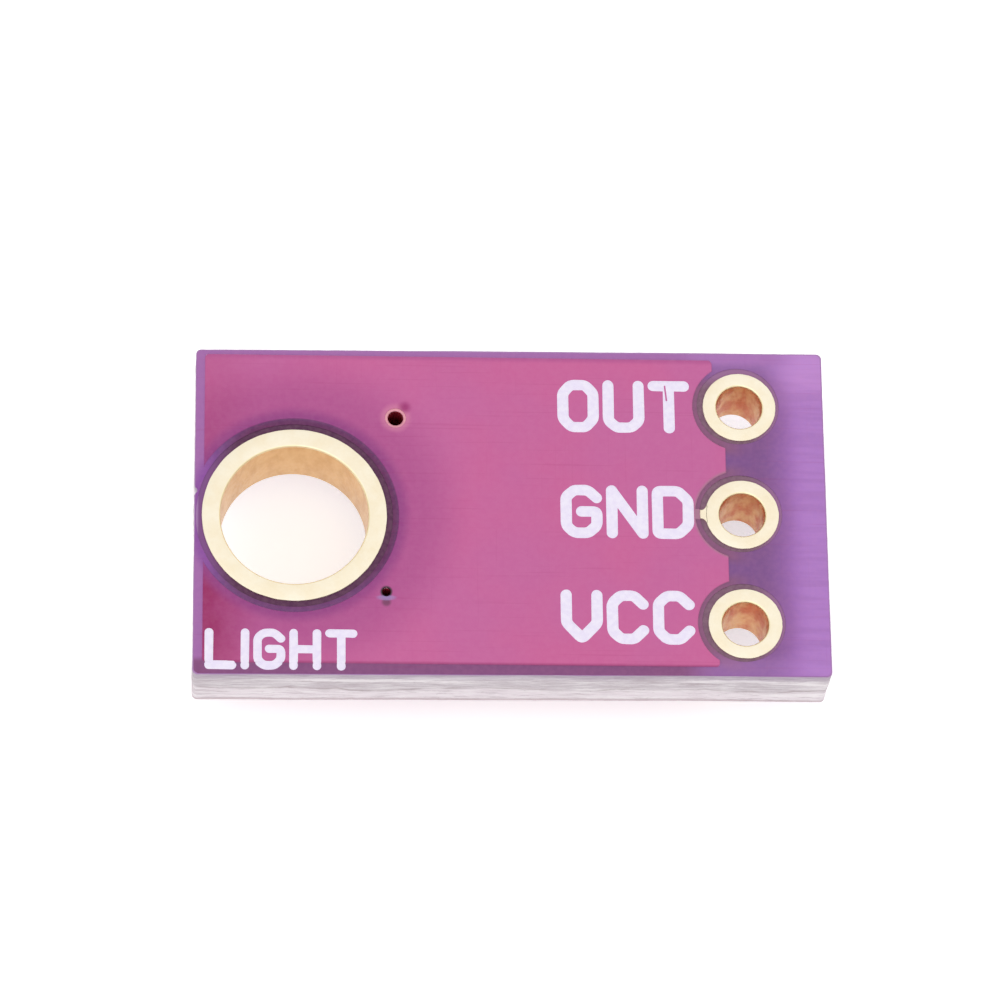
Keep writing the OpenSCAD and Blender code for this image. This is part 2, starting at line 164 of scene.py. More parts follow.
class Disc:
    """Round shape."""

    def __init__(self, x, y, r):
        self.x, self.y, self.r = x, y, r

    def distance(self, x, y):
        return math.hypot(x - self.x, y - self.y) - self.r

    def outline(self, grow):
        r = self.r + grow
        count = max(40, round(2 * math.pi * r / CIRCLE_STEP))
        turns = [2 * math.pi * i / count for i in range(count)]
        return [(self.x + r * math.cos(a), self.y + r * math.sin(a)) for a in turns]


class Stroke:
    """Straight line with a width and round ends."""

    def __init__(self, start, end, width):
        self.start, self.end, self.r = Vector(start), Vector(end), width / 2

    def distance(self, x, y):
        run = self.end - self.start
        to = Vector((x, y)) - self.start
        share = min(max(to.dot(run) / max(run.length_squared, 1e-12), 0), 1)
        return (to - run * share).length - self.r

    def outline(self, grow):
        r = self.r + grow
        lean = math.atan2(self.end.y - self.start.y, self.end.x - self.start.x)
        half = 10
        points = []
        for centre, first in ((self.end, lean - math.pi / 2), (self.start, lean + math.pi / 2)):
            for i in range(half + 1):
                turn = first + math.pi * i / half
                points.append((centre.x + r * math.cos(turn), centre.y + r * math.sin(turn)))
        return points


class Drawing:
    """Shapes added and cut in turn, as copper or print is drawn on a board."""

    def __init__(self):
        self.steps = []

    def add(self, shapes):
        self.steps += [(1, shape) for shape in shapes]
        return self

    def cut(self, shapes):
        self.steps += [(-1, shape) for shape in shapes]
        return self

    def distance(self, x, y):
        found = 1000.0
        for sign, shape in self.steps:
            part = shape.distance(x, y)
            found = min(found, part) if sign > 0 else max(found, -part)
        return found

    def outlines(self, grow):
        return [shape.outline(sign * grow) for sign, shape in self.steps]


def strokes_between(points, width, closed=False):
    """Strokes from point to point."""
    ends = points[1:] + points[:1] if closed else points[1:]
    return [Stroke(a, b, width) for a, b in zip(points, ends)]


# Copper and openings of the two faces

def sensor_land(side, grow):
    """Land under one end of the sensor."""
    inner, outer = SENSOR_END - TERMINAL_L, SENSOR_END + LAND_RUN
    y0, y1 = sorted((side * (inner - grow), side * (outer + grow)))
    half = SENSOR_W / 2 + LAND_SIDE + grow
    return Box(SENSOR_X - half, SENSOR_X + half, y0, y1)


def resistor_land(side, grow):
    """Land under one end of the resistor."""
    inner, outer = RESISTOR_END - CAP_L, RESISTOR_END + LAND_RUN
    y0, y1 = sorted((side * (inner - grow), side * (outer + grow)))
    half = RESISTOR_W / 2 + LAND_SIDE + grow
    return Box(RESISTOR_X - half, RESISTOR_X + half, y0, y1)


def sensor_track(side, grow):
    """Track from a pin hole to the sensor's land, with a bend of 45 degrees."""
    pin_y = side * OUT_Y
    land_y = side * (SENSOR_END - TERMINAL_L + SENSOR_END + LAND_RUN) / 2
    bend = (PIN_X - abs(pin_y - land_y), land_y)
    return strokes_between([(PIN_X, pin_y), bend, (SENSOR_X, land_y)], TRACK_W + 2 * grow)


def signal_copper(grow):
    """Output pin, the sensor's emitter and the resistor's first end."""
    sensor_y = (SENSOR_END - TERMINAL_L + SENSOR_END + LAND_RUN) / 2
    resistor_y = (RESISTOR_END - CAP_L + RESISTOR_END + LAND_RUN) / 2
    link = Stroke((RESISTOR_X, sensor_y), (RESISTOR_X, resistor_y), TRACK_W + 2 * grow)
    return sensor_track(1, grow) + [link, sensor_land(1, grow), resistor_land(1, grow)]


def supply_copper(grow):
    """Supply pin and the sensor's collector."""
    return sensor_track(-1, grow) + [sensor_land(-1, grow)]


def ground_area():
    """Ground area that both faces share."""
    area = Drawing()
    ends = FOIL_HIGH.x - GROUND_STEP
    area.add([Box(FOIL_LOW.x, ends, FOIL_LOW.y, FOIL_HIGH.y)])
    area.add([Box(FOIL_LOW.x, FOIL_HIGH.x, -OUT_Y, OUT_Y)])
    area.cut([Disc(pin.x, pin.y, PIN_RING_R + PIN_CLEARANCE) for pin in PINS])
    area.cut([Disc(MOUNT.x, MOUNT.y, MOUNT_RING_R + MOUNT_CLEARANCE)])
    return area


def ground_spoke():
    """Spoke that joins the ground pin's ring to the ground area."""
    reach = PIN_RING_R + PIN_CLEARANCE + 0.1
    return Stroke((PIN_X - reach, 0), (PIN_X - PIN_BORE_R - BARREL_T, 0), SPOKE_W)


def top_copper():
    return ground_area().add([ground_spoke()])


def bottom_copper():
    area = ground_area()
    area.cut(signal_copper(COPPER_GAP) + supply_copper(COPPER_GAP))
    area.cut([resistor_land(-1, COPPER_GAP)])
    area.add([ground_spoke(), resistor_land(-1, 0)])
    resistor_y = -(RESISTOR_END - CAP_L + RESISTOR_END + LAND_RUN) / 2
    reach = RESISTOR_W / 2 + LAND_SIDE + COPPER_GAP
    area.add([Stroke((RESISTOR_X - reach, resistor_y), (RESISTOR_X + reach, resistor_y), SPOKE_W)])
    area.add(signal_copper(0) + supply_copper(0))
    return area


def hole_openings():
    """Openings of the mask round the plated holes."""
    openings = Drawing()
    for pin in PINS:
        openings.add([Disc(pin.x + MASK_SHIFT.x, pin.y + MASK_SHIFT.y, PIN_RING_R + PIN_OPENING)])
    openings.add([Disc(MOUNT.x, MOUNT.y, MOUNT_RING_R + MOUNT_OPENING)])
    return openings


# Mesh makers

def new_piece(name, mesh_data, materials, smooth=False):
    """Object made of a bmesh in millimetres, riding on the module's body."""
    for vertex in mesh_data.verts:
        vertex.co *= MM
    mesh = bpy.data.meshes.new(name)
    bmesh.ops.recalc_face_normals(mesh_data, faces=mesh_data.faces)
    for face in mesh_data.faces:
        face.smooth = smooth
    mesh_data.to_mesh(mesh)
    mesh_data.free()
    for material in materials:
        mesh.materials.append(material)
    piece = bpy.data.objects.new(name, mesh)
    bpy.context.scene.collection.objects.link(piece)
    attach(piece, "root")
    return piece


def triangles_between(loops, keep):
    """Corner points and triangles between closed loops, where keep says that the middle stays."""
    points, edges = [], []
    for loop in loops:
        first = len(points)
        points += [Vector(p) for p in loop]
        edges += [(first + i, first + (i + 1) % len(loop)) for i in range(len(loop))]
    result = delaunay_2d_cdt(points, edges, [], 0, 1e-6)
    corners = result[0]
    kept = []
    for face in result[2]:
        mid = sum((corners[i] for i in face), Vector((0, 0))) / len(face)
        if keep(mid.x, mid.y):
            kept.append(face)
    return corners, kept


def relief(loops, keep, height, base_z, up, wall=True):
    """Sheet over a flat face: its height above the face varies, and its rim comes down to it."""
    corners, kept = triangles_between(loops, keep)
    mesh_data = bmesh.new()
    used = {}
    for face in kept:
        for i in face:
            if i not in used:
                x, y = corners[i]
                used[i] = mesh_data.verts.new((x, y, base_z + up * height(x, y)))
        mesh_data.faces.new([used[i] for i in face])
    if wall:
        rim = [edge for edge in mesh_data.edges if edge.is_boundary]
        grown = bmesh.ops.extrude_edge_only(mesh_data, edges=rim)
        for item in grown["geom"]:
            if isinstance(item, bmesh.types.BMVert):
                item.co.z = base_z
    return mesh_data


def lacquer_level(copper, x, y):
    """Height of the lacquer above the laminate, where it climbs over the copper's edge."""
    climb = min(max(1 - copper.distance(x, y) / MASK_SLOPE, 0), 1)
    return MASK_T + FOIL_T * climb * climb * (3 - 2 * climb)


def mask_film(copper, openings, dimples, base_z, up):
    """Lacquer over the laminate that climbs over the copper and thins at its rims."""
    outline = Box(MASK_LOW.x, MASK_HIGH.x, MASK_LOW.y, MASK_HIGH.y, BOARD_CORNER_R)

    def region(x, y):
        return max(outline.distance(x, y), -openings.distance(x, y))

    def height(x, y):
        rim = min(max(-region(x, y) / FILM_ROUND, 0), 1)
        full = lacquer_level(copper, x, y) - 0.4 * MASK_T * (1 - rim) ** 2
        for spot in dimples:
            share = min(math.hypot(x - spot.x, y - spot.y) / VIA_BORE_R, 1)
            full -= FOIL_T * (1 - share * share) ** 2
        return full

    loops = [outline.outline(-step) for step in (0, FILM_ROUND / 2, FILM_ROUND)]
    for step in (0, FILM_ROUND / 2, FILM_ROUND):
        loops += openings.outlines(step)
    for step in (0, MASK_SLOPE / 3, 2 * MASK_SLOPE / 3, MASK_SLOPE):
        loops += copper.outlines(step)
    for spot in dimples:
        for share in (0.25, 0.5, 0.75, 1):
            loops.append(Disc(spot.x, spot.y, VIA_BORE_R * share).outline(0))
    return relief(loops, lambda x, y: region(x, y) < 0, height, base_z, up)


def lathe(mesh_data, profile, x, y, ripple=0.0):
    """Body of revolution about an upright line; profile is a closed loop of (radius, height, material)."""
    widest = max(point[0] for point in profile)
    count = max(48, round(2 * math.pi * widest / CIRCLE_STEP))
    rings = []
    for i in range(count):
        turn = 2 * math.pi * i / count
        along = Vector((math.cos(turn), math.sin(turn), 0))
        shift = ripple * noise.noise(along * 9 + Vector((x, y, 0)))
        ring = []
        for radius, z, _ in profile:
            wide = radius + (shift if radius > widest - 0.03 else 0)
            ring.append(mesh_data.verts.new((x + along.x * wide, y + along.y * wide, z)))
        rings.append(ring)
    for i in range(count):
        near, far = rings[i], rings[(i + 1) % count]
        for j, (_, _, material) in enumerate(profile):
            k = (j + 1) % len(profile)
            face = mesh_data.faces.new((near[j], near[k], far[k], far[j]))
            face.material_index = material


def plated_profile(bore, ring, low_t, high_t):
    """Cross-section of a plated hole: barrel, two rings and soft rims. Material 1 is bore, 2 is lip."""
    low, high = UNDER_Z - low_t, TOP_Z + high_t
    lip, rim = min(0.05, bore * 0.2), 0.012
    shoulder = bore + BARREL_T
    profile = [(bore, low + lip, 1), (bore, (low + high) / 2, 1)]
    for i in range(6):
        turn = math.pi / 2 * i / 5
        profile.append((bore + lip * (1 - math.cos(turn)), high - lip * (1 - math.sin(turn)), 2 if i < 4 else 0))
    for i in range(3):
        turn = math.pi / 2 * i / 2
        profile.append((ring - rim * (1 - math.sin(turn)), high - rim * (1 - math.cos(turn)), 0))
    profile += [(ring, TOP_Z, 0), (shoulder, TOP_Z, 0), (shoulder, UNDER_Z, 0), (ring, UNDER_Z, 0)]
    for i in range(3):
        turn = math.pi / 2 * i / 2
        profile.append((ring - rim * (1 - math.cos(turn)), low + rim * (1 - math.sin(turn)), 0))
    for i in range(5):
        turn = math.pi / 2 * i / 5
        profile.append((bore + lip * (1 - math.sin(turn)), low + lip * (1 - math.cos(turn)), 0 if i < 1 else 2))
    return profile


# Materials

def linear(red, green, blue):
    """Colour for a shader from 0 to 255 screen values."""
    parts = [c / 255 for c in (red, green, blue)]
    return [c / 12.92 if c <= 0.04045 else ((c + 0.055) / 1.055) ** 2.4 for c in parts] + [1.0]


class Look:
    """Small set of calls that wire up one material's nodes."""

    def __init__(self, name, **values):
        self.material = bpy.data.materials.new(name)
        self.material.use_nodes = True
        self.tree = self.material.node_tree
        self.shader = self.tree.nodes["Principled BSDF"]
        for socket, value in values.items():
            self.shader.inputs[socket.replace("_", " ")].default_value = value
        where = self.tree.nodes.new("ShaderNodeTexCoord")
        scale = self.node("ShaderNodeMapping", Vector=where.outputs["Object"])
        scale.inputs["Scale"].default_value = (1 / MM, 1 / MM, 1 / MM)
        self.place = scale.outputs["Vector"]

    def node(self, kind, **links):
        made = self.tree.nodes.new(kind)
        for socket, value in links.items():
            self.feed(made.inputs[socket.replace("_", " ")], value)
        return made

    def feed(self, socket, value):
        if isinstance(value, bpy.types.NodeSocket):
            self.tree.links.new(value, socket)
        else:
            socket.default_value = value

    def noise(self, scale, detail=3.0, stretch=(1, 1, 1), rough=0.5):
        """Cloudy pattern; scale is in patches per millimetre."""
        spread = self.node("ShaderNodeMapping", Vector=self.place)
        spread.inputs["Scale"].default_value = stretch
        made = self.node("ShaderNodeTexNoise", Vector=spread.outputs["Vector"])
        made.inputs["Scale"].default_value = scale
        made.inputs["Detail"].default_value = detail
        made.inputs["Roughness"].default_value = rough
        return made.outputs["Fac"]

    def math(self, operation, a, b=0.0, clamp=False):
        made = self.tree.nodes.new("ShaderNodeMath")
        made.operation = operation
        made.use_clamp = clamp
        self.feed(made.inputs[0], a)
        self.feed(made.inputs[1], b)
        return made.outputs[0]

    def span(self, value, low, high, out_low=0.0, out_high=1.0):
        """Value from low to high as a smooth step from out_low to out_high."""
        made = self.tree.nodes.new("ShaderNodeMapRange")
        made.interpolation_type = "SMOOTHSTEP"
        for socket, number in zip(made.inputs[1:5], (low, high, out_low, out_high)):
            socket.default_value = number
        self.feed(made.inputs[0], value)
        return made.outputs[0]

    def mix(self, share, a, b):
        made = self.tree.nodes.new("ShaderNodeMix")
        made.data_type = "RGBA"
        self.feed(made.inputs[0], share)
        self.feed(made.inputs[6], a)
        self.feed(made.inputs[7], b)
        return made.outputs[2]

    def axes(self):
        made = self.node("ShaderNodeSeparateXYZ", Vector=self.place)
        return made.outputs[0], made.outputs[1], made.outputs[2]

    def from_axis(self, x, y):
        """Distance from an upright line, in millimetres."""
        level = self.tree.nodes.new("ShaderNodeVectorMath")
        level.operation = "MULTIPLY"
        self.feed(level.inputs[0], self.place)
        level.inputs[1].default_value = (1, 1, 0)
        made = self.tree.nodes.new("ShaderNodeVectorMath")
        made.operation = "DISTANCE"
        self.feed(made.inputs[0], level.outputs[0])
        made.inputs[1].default_value = (x, y, 0)
        return made.outputs["Value"]

    def colour(self, value):
        self.feed(self.shader.inputs["Base Color"], value)

    def roughness(self, value):
        self.feed(self.shader.inputs["Roughness"], value)

    def bump(self, height, depth, strength=1.0):
        """Relief whose full depth is given in millimetres."""
        made = self.tree.nodes.new("ShaderNodeBump")
        made.inputs["Strength"].default_value = strength
        made.inputs["Distance"].default_value = depth * MM
        self.feed(made.inputs["Height"], height)
        self.feed(self.shader.inputs["Normal"], made.outputs["Normal"])


def seen(red, green, blue):
    """Base colour that looks like the given screen colour once an even gloss lies on it."""
    return [max(part - GLOSS_LIFT, 0.001) for part in linear(red, green, blue)[:3]] + [1.0]


GLOSS_LIFT = 0.045
PINK = seen(202, 111, 163)
PINK_WARM = seen(207, 109, 159)
PINK_MUTED = seen(184, 96, 150)
PINK_DUSK = seen(156, 80, 138)
PINK_DEEP = seen(158, 36, 106)
PINK_PAINTED_SHADE = seen(150, 48, 106)
PINK_HALO = seen(222, 142, 172)
PINK_SMUDGE = seen(160, 48, 116)
PINK_SPOKE = seen(172, 130, 150)
VIOLET = seen(133, 93, 146)
VIOLET_PALE = seen(175, 122, 197)
VIOLET_BRIM = seen(187, 138, 208)
VIOLET_LEFT = seen(170, 116, 176)
VIOLET_BACK = seen(201, 147, 214)
VIOLET_FRONT = seen(140, 90, 132)
VIOLET_GAP_SHADE = seen(106, 62, 98)
VIOLET_SOFT_GAP_SHADE = seen(140, 84, 162)
VIOLET_RING_SHADE = seen(144, 98, 128)
TENT_SHADE = seen(48, 4, 60)
TENT_HIGHLIGHT = seen(172, 146, 200)


def mask_look():
    """Lacquer: pink where it lies on copper, violet on laminate, and painted shade beside the openings."""
    look = Look("violet_lacquer", IOR=1.5, Specular_IOR_Level=0.45)
    x, y, z = look.axes()
    upper_side = look.math("GREATER_THAN", z, MID_Z)
    pink = mask_on_copper(look, x, y, upper_side)
    violet = mask_on_laminate(look, x, y)
    level = look.math("ABSOLUTE", look.math("SUBTRACT", z, MID_Z))
    half = (TOP_Z - UNDER_Z) / 2
    over_copper = look.span(level, half + MASK_T + 0.15 * FOIL_T, half + MASK_T + 0.9 * FOIL_T)
    base = mask_over_via(look, x, y, upper_side, look.mix(over_copper, violet, pink))
    grain = look.noise(9, 4)
    speckle = look.span(grain, 0.3, 0.7, 0.0, 0.05)
    base = look.mix(speckle, base, linear(226, 150, 190))
    hairs = look.span(look.noise(1.3, 2, (0.25, 16, 1)), 0.62, 0.72, 0, 0.12)
    cross = look.span(look.noise(1.5, 2, (16, 0.25, 1)), 0.64, 0.74, 0, 0.07)
    look.colour(look.mix(look.math("MAXIMUM", hairs, cross), base, PINK_DEEP))
    look.roughness(look.span(look.noise(3, 4), 0.3, 0.7, 0.32, 0.44))
    weave = look.math("MULTIPLY", look.noise(2.2, 2, (1, 7, 1)), look.noise(2.2, 2, (7, 1, 1)))
    look.bump(look.math("ADD", weave, look.math("MULTIPLY", grain, 0.3)), 0.004)
    return look.material


def mask_on_copper(look, x, y, upper_side):
    """Pink over copper, more purple round the mounting hole and deep at the left end."""
    pink = look.mix(look.span(look.noise(0.35, 4), 0.35, 0.68), PINK, PINK_WARM)
    from_mount = look.from_axis(MOUNT.x, MOUNT.y)
    pink = look.mix(look.span(from_mount, MOUNT_RING_R + 2, MOUNT_RING_R + 0.6), pink, PINK_MUTED)
    left = look.span(x, BOARD_LOW.x + 1.6, BOARD_LOW.x + 0.3)
    low = look.span(y, 2.2, -2.0, 0.3, 1.0)
    patch = look.span(look.noise(0.9, 3), 0.34, 0.62, 0.72, 1)
    deep = look.math("MULTIPLY", look.math("MULTIPLY", left, patch), low)
    pink = look.mix(deep, pink, PINK_DEEP)
    beside_gap = look.span(from_mount, MOUNT_RING_R + MOUNT_CLEARANCE + 0.32, MOUNT_RING_R + MOUNT_CLEARANCE)
    pink = look.mix(beside_gap, pink, PINK_DUSK)
    # Painted shade along the front edge of the copper, where the lacquer's slope faces away from the light.
    pink = look.mix(look.span(y, FOIL_LOW.y + 0.05, FOIL_LOW.y - 0.02, 0, 0.6), pink, PINK_PAINTED_SHADE)
    pink = look.mix(look.span(y, FOIL_HIGH.y - 0.12, FOIL_HIGH.y, 0, 0.8), pink, PINK_MUTED)
    reach = PIN_RING_R + PIN_CLEARANCE
    on_spoke = look.span(look.from_axis(PINS[1].x, PINS[1].y), reach + 0.06, reach - 0.04, 0, 0.9)
    pink = look.mix(on_spoke, pink, PINK_SPOKE)
    halo = look.span(look.from_axis(UPPER_VIA.x, UPPER_VIA.y), VIA_RING_R + 0.14, VIA_RING_R, 0, 0.5)
    pink = look.mix(look.math("MULTIPLY", halo, upper_side), pink, PINK_HALO)
    smudge = look.span(look.from_axis(UPPER_VIA.x + 0.2, UPPER_VIA.y + 0.25), 0.2, 0.02, 0, 0.85)
    return look.mix(look.math("MULTIPLY", smudge, upper_side), pink, PINK_SMUDGE)


def mask_on_laminate(look, x, y):
    """Violet on laminate: paler towards the board's edges, with painted shade in the gaps beside the rings."""
    right = look.span(x, PIN_X + 0.35, PIN_X + 1.5)
    violet = look.mix(right, VIOLET, VIOLET_PALE)
    corner = look.math("MULTIPLY", right, look.span(y, OUT_Y - 0.4, OUT_Y + 0.9))
    violet = look.mix(corner, violet, VIOLET_BACK)
    back_edge = look.span(y, BOARD_HIGH.y - 0.35, BOARD_HIGH.y - 0.12)
    violet = look.mix(look.math("MULTIPLY", back_edge, look.math("SUBTRACT", 1.0, right)), violet, VIOLET_LEFT)
    left_edge = look.span(x, BOARD_LOW.x + 0.5, BOARD_LOW.x + 0.2)
    violet = look.mix(left_edge, violet, VIOLET_LEFT)
    front_edge = look.span(y, BOARD_LOW.y + 0.4, BOARD_LOW.y + 0.25)
    front_edge = look.math("MULTIPLY", front_edge, look.span(x, PIN_X - 0.1, PIN_X - 1.3))
    violet = look.mix(front_edge, violet, VIOLET_FRONT)
    brim = look.math("SUBTRACT", 1.0, look.span(y, OUT_Y - 0.4, OUT_Y + 0.9))
    brim = look.math("MULTIPLY", brim, look.span(x, BOARD_HIGH.x - 0.9, BOARD_HIGH.x - 0.3, 0, 0.6))
    violet = look.mix(brim, violet, VIOLET_BRIM)
    streaks = look.span(look.noise(1.7, 3, (0.35, 3.4, 1)), 0.38, 0.64, 0, 0.18)
    violet = look.mix(look.math("MULTIPLY", streaks, right), violet, VIOLET)
    # Painted shade in the gap round the mounting ring, weaker at the ring's front and paler near the left edge.
    gap = look.span(look.from_axis(MOUNT.x, MOUNT.y), MOUNT_RING_R + 0.45, MOUNT_RING_R + 0.15)
    inward = look.span(x, BOARD_LOW.x + 0.2, BOARD_LOW.x + 1.2)
    outward = look.math("MULTIPLY", gap, look.span(x, BOARD_LOW.x + 0.8, BOARD_LOW.x + 0.2, 0, 0.8))
    violet = look.mix(outward, violet, VIOLET_SOFT_GAP_SHADE)
    behind = look.span(y, MOUNT.y - MOUNT_RING_R, MOUNT.y - 1, 0.62, 1)
    gap = look.math("MULTIPLY", look.math("MULTIPLY", gap, inward), behind)
    violet = look.mix(gap, violet, VIOLET_GAP_SHADE)
    # Painted shade round the pin openings, strongest on their left sides.
    beyond = look.from_axis(PINS[0].x, PINS[0].y)
    for pin in PINS[1:]:
        beyond = look.math("MINIMUM", beyond, look.from_axis(pin.x, pin.y))
    ring = look.span(beyond, PIN_RING_R + 0.45, PIN_RING_R + 0.2)
    ring = look.math("MULTIPLY", ring, look.span(x, PIN_X + 0.3, PIN_X - 0.5, 0.1, 0.95))
    ring = look.math("MULTIPLY", ring, look.span(y, OUT_Y + 0.8, OUT_Y + 0.4, 0.1, 1))
    violet = look.mix(ring, violet, VIOLET_RING_SHADE)
    ends = look.span(look.math("ABSOLUTE", y), OUT_Y + 0.55, OUT_Y + 1.0, 0, 0.35)
    ends = look.math("MULTIPLY", ends, look.span(x, PIN_X - 1.5, PIN_X - 0.7))
    return look.mix(ends, violet, VIOLET_BRIM)


def mask_over_via(look, x, y, upper_side, base):
    """Skin of lacquer over the lower via, torn open at the back: painted shade round the tear and in the dimple, and a
    pale painted highlight across the dimple.
    """
    # Painted shade round the tear in the skin and in the dimple in front of it.
    rim = look.span(look.from_axis(LOWER_VIA.x, LOWER_VIA.y + 0.08), TORN_R + 0.06, TORN_R)
    dimple_shade = look.span(look.from_axis(LOWER_VIA.x, LOWER_VIA.y - 0.16), 0.14, 0.05, 0, 0.6)
    dark = look.math("MULTIPLY", look.math("MAXIMUM", rim, dimple_shade), upper_side)
    base = look.mix(dark, base, TENT_SHADE)
    # Painted highlight: a pale band across the dimple, where its sagging skin would reflect the light.
    dx = look.math("MULTIPLY", look.math("SUBTRACT", x, LOWER_VIA.x), 1 / 0.26)
    dy = look.math("MULTIPLY", look.math("SUBTRACT", y, LOWER_VIA.y - 0.06), 1 / 0.08)
    reach = look.math("ADD", look.math("MULTIPLY", dx, dx), look.math("MULTIPLY", dy, dy))
    dimple_highlight = look.math("MULTIPLY", look.span(reach, 1.0, 0.0, 0, 0.85), upper_side)
    return look.mix(dimple_highlight, base, TENT_HIGHLIGHT)


def edge_look():
    """Sawn laminate: pale plies of glass, greyer resin between them and torn fibres."""
    look = Look("sawn_laminate", IOR=1.5, Specular_IOR_Level=0.3)
    x, y, z = look.axes()
    sway = look.math("MULTIPLY", look.math("SUBTRACT", look.noise(0.5, 3), 0.5), 0.7)
    level = look.math("ADD", z, sway)
    bundles = look.noise(1.0, 3, (0.32, 0.32, 4.2), 0.5)
    threads = look.noise(3.4, 4, (0.25, 0.25, 5), 0.55)
    weave = look.noise(9, 3, (0.18, 0.18, 3), 0.5)
    flecks = look.noise(13, 4, (0.6, 0.6, 1.6))
    low = UNDER_Z + 0.55
    base = look.mix(look.span(level, low - 0.1, low + 0.25), linear(242, 231, 237), linear(210, 200, 206))
    base = look.mix(look.span(bundles, 0.52, 0.66, 0, 0.75), base, linear(252, 245, 248))
    base = look.mix(look.span(bundles, 0.44, 0.34, 0, 0.6), base, linear(198, 184, 190))
    seam = look.span(look.math("ABSOLUTE", look.math("SUBTRACT", level, low + 0.1)), 0.07, 0.0)
    seam = look.math("MULTIPLY", seam, look.span(look.noise(0.9, 2), 0.38, 0.58, 0.1, 0.75))
    base = look.mix(seam, base, linear(166, 148, 152))
    base = look.mix(look.span(weave, 0.54, 0.62, 0, 0.45), base, linear(252, 247, 249))
    base = look.mix(look.span(weave, 0.46, 0.37, 0, 0.42), base, linear(176, 160, 168))
    base = look.mix(look.span(threads, 0.58, 0.68, 0, 0.5), base, linear(254, 250, 250))
    base = look.mix(look.span(threads, 0.40, 0.31, 0, 0.5), base, linear(168, 150, 156))
    base = look.mix(look.span(z, UNDER_Z + 0.16, UNDER_Z + 0.05, 0, 0.6), base, linear(190, 168, 174))
    base = look.mix(look.span(flecks, 0.34, 0.27, 0, 0.4), base, linear(156, 140, 146))
    base = look.mix(look.span(z, TOP_Z - 0.42, TOP_Z - 0.02, 0, 0.5), base, linear(150, 126, 158))
    look.colour(base)
    look.roughness(look.span(flecks, 0.3, 0.7, 0.5, 0.72))
    look.bump(look.math("ADD", threads, look.math("MULTIPLY", flecks, 0.6)), 0.02)
    return look.material


def face_look():
    """Bare laminate in the mask's openings: dark partly as the translucent board looks over its depth and partly as
    painted shade in the openings, pale at its rim.
    """
    look = Look("bare_laminate", IOR=1.5, Specular_IOR_Level=0.3)
    x, y, z = look.axes()
    across = look.span(look.math("ABSOLUTE", x), BOARD_HIGH.x - 0.12, BOARD_HIGH.x - 0.05)
    along = look.span(look.math("ABSOLUTE", y), BOARD_HIGH.y - 0.12, BOARD_HIGH.y - 0.05)
    rim = look.math("MAXIMUM", across, along)
    grain = look.noise(11, 4)
    dark = look.mix(look.span(grain, 0.3, 0.7), seen(102, 72, 95), seen(114, 84, 104))
    dusk = look.mix(look.span(grain, 0.3, 0.7), seen(134, 104, 122), seen(146, 116, 132))
    base = look.mix(look.span(x, MOUNT.x + MOUNT_RING_R + 1, PIN_X - PIN_RING_R - 0.5), dark, dusk)
    # Painted light and shade: paler to the right of the pins and behind the output pin, darker on the openings' other
    # sides.
    lit_side = look.math("MAXIMUM", look.span(x, PIN_X + 0.1, PIN_X + 0.75), look.span(y, OUT_Y + 0.4, OUT_Y + 0.8))
    base = look.mix(lit_side, base, seen(164, 122, 160))
    base = look.mix(look.span(x, BOARD_LOW.x + 1.0, BOARD_LOW.x + 0.2), base, seen(140, 98, 146))
    look.colour(look.mix(rim, base, linear(176, 132, 184)))
    look.roughness(0.5)
    look.bump(grain, 0.006)
    return look.material


def gold_look(name, pale, deep, rough, grain_scale, depth):
    """Gold plating whose tone and gloss vary a little."""
    look = Look(name, Metallic=1.0)
    cloud = look.noise(grain_scale / 6, 3)
    grain = look.noise(grain_scale, 4)
    look.colour(look.mix(look.span(cloud, 0.3, 0.7), pale, deep))
    look.roughness(look.span(grain, 0.3, 0.7, rough, rough + 0.15))
    look.bump(grain, depth)
    return look.material


def bore_look(name, pale, deep, depth):
    """Plated wall of a drilled hole, with the drill's soft bands."""
    look = Look(name, Metallic=1.0)
    bands = look.noise(3.5, 3, (1, 1, 0.45))
    rough = look.noise(16, 3, (1, 1, 0.5))
    look.colour(look.mix(look.span(bands, 0.35, 0.68), pale, deep))
    look.roughness(look.span(rough, 0.3, 0.7, 0.28, 0.4))
    look.bump(look.math("ADD", bands, look.math("MULTIPLY", rough, 0.4)), depth)
    return look.material


def plain_look(name, light, dark, rough, scale, depth, stretch=(1, 1, 1), **values):
    """Surface of two close tones with a fine relief."""
    look = Look(name, **values)
    grain = look.noise(scale, 4, stretch)
    look.colour(look.mix(look.span(grain, 0.32, 0.68), light, dark))
    look.roughness(look.span(look.noise(scale * 0.4, 3), 0.3, 0.7, rough - 0.05, rough + 0.08))
    look.bump(grain, depth)
    return look.material


def print_look():
    """White print ink, slightly uneven."""
    return plain_look("white_print", linear(243, 236, 252), linear(236, 227, 249), 0.6, 8, 0.003)


def epoxy_look():
    """Clear cast epoxy: faint body, and a gloss strong enough to stay after the see-through share."""
    look = Look("clear_epoxy", Alpha=0.3, IOR=2.3)
    grain = look.noise(3, 3)
    look.colour(look.mix(look.span(grain, 0.35, 0.65), (0.46, 0.49, 0.44, 1), (0.38, 0.41, 0.36, 1)))
    look.roughness(look.span(grain, 0.3, 0.7, 0.03, 0.09))
    look.bump(grain, 0.003)
    return look.material


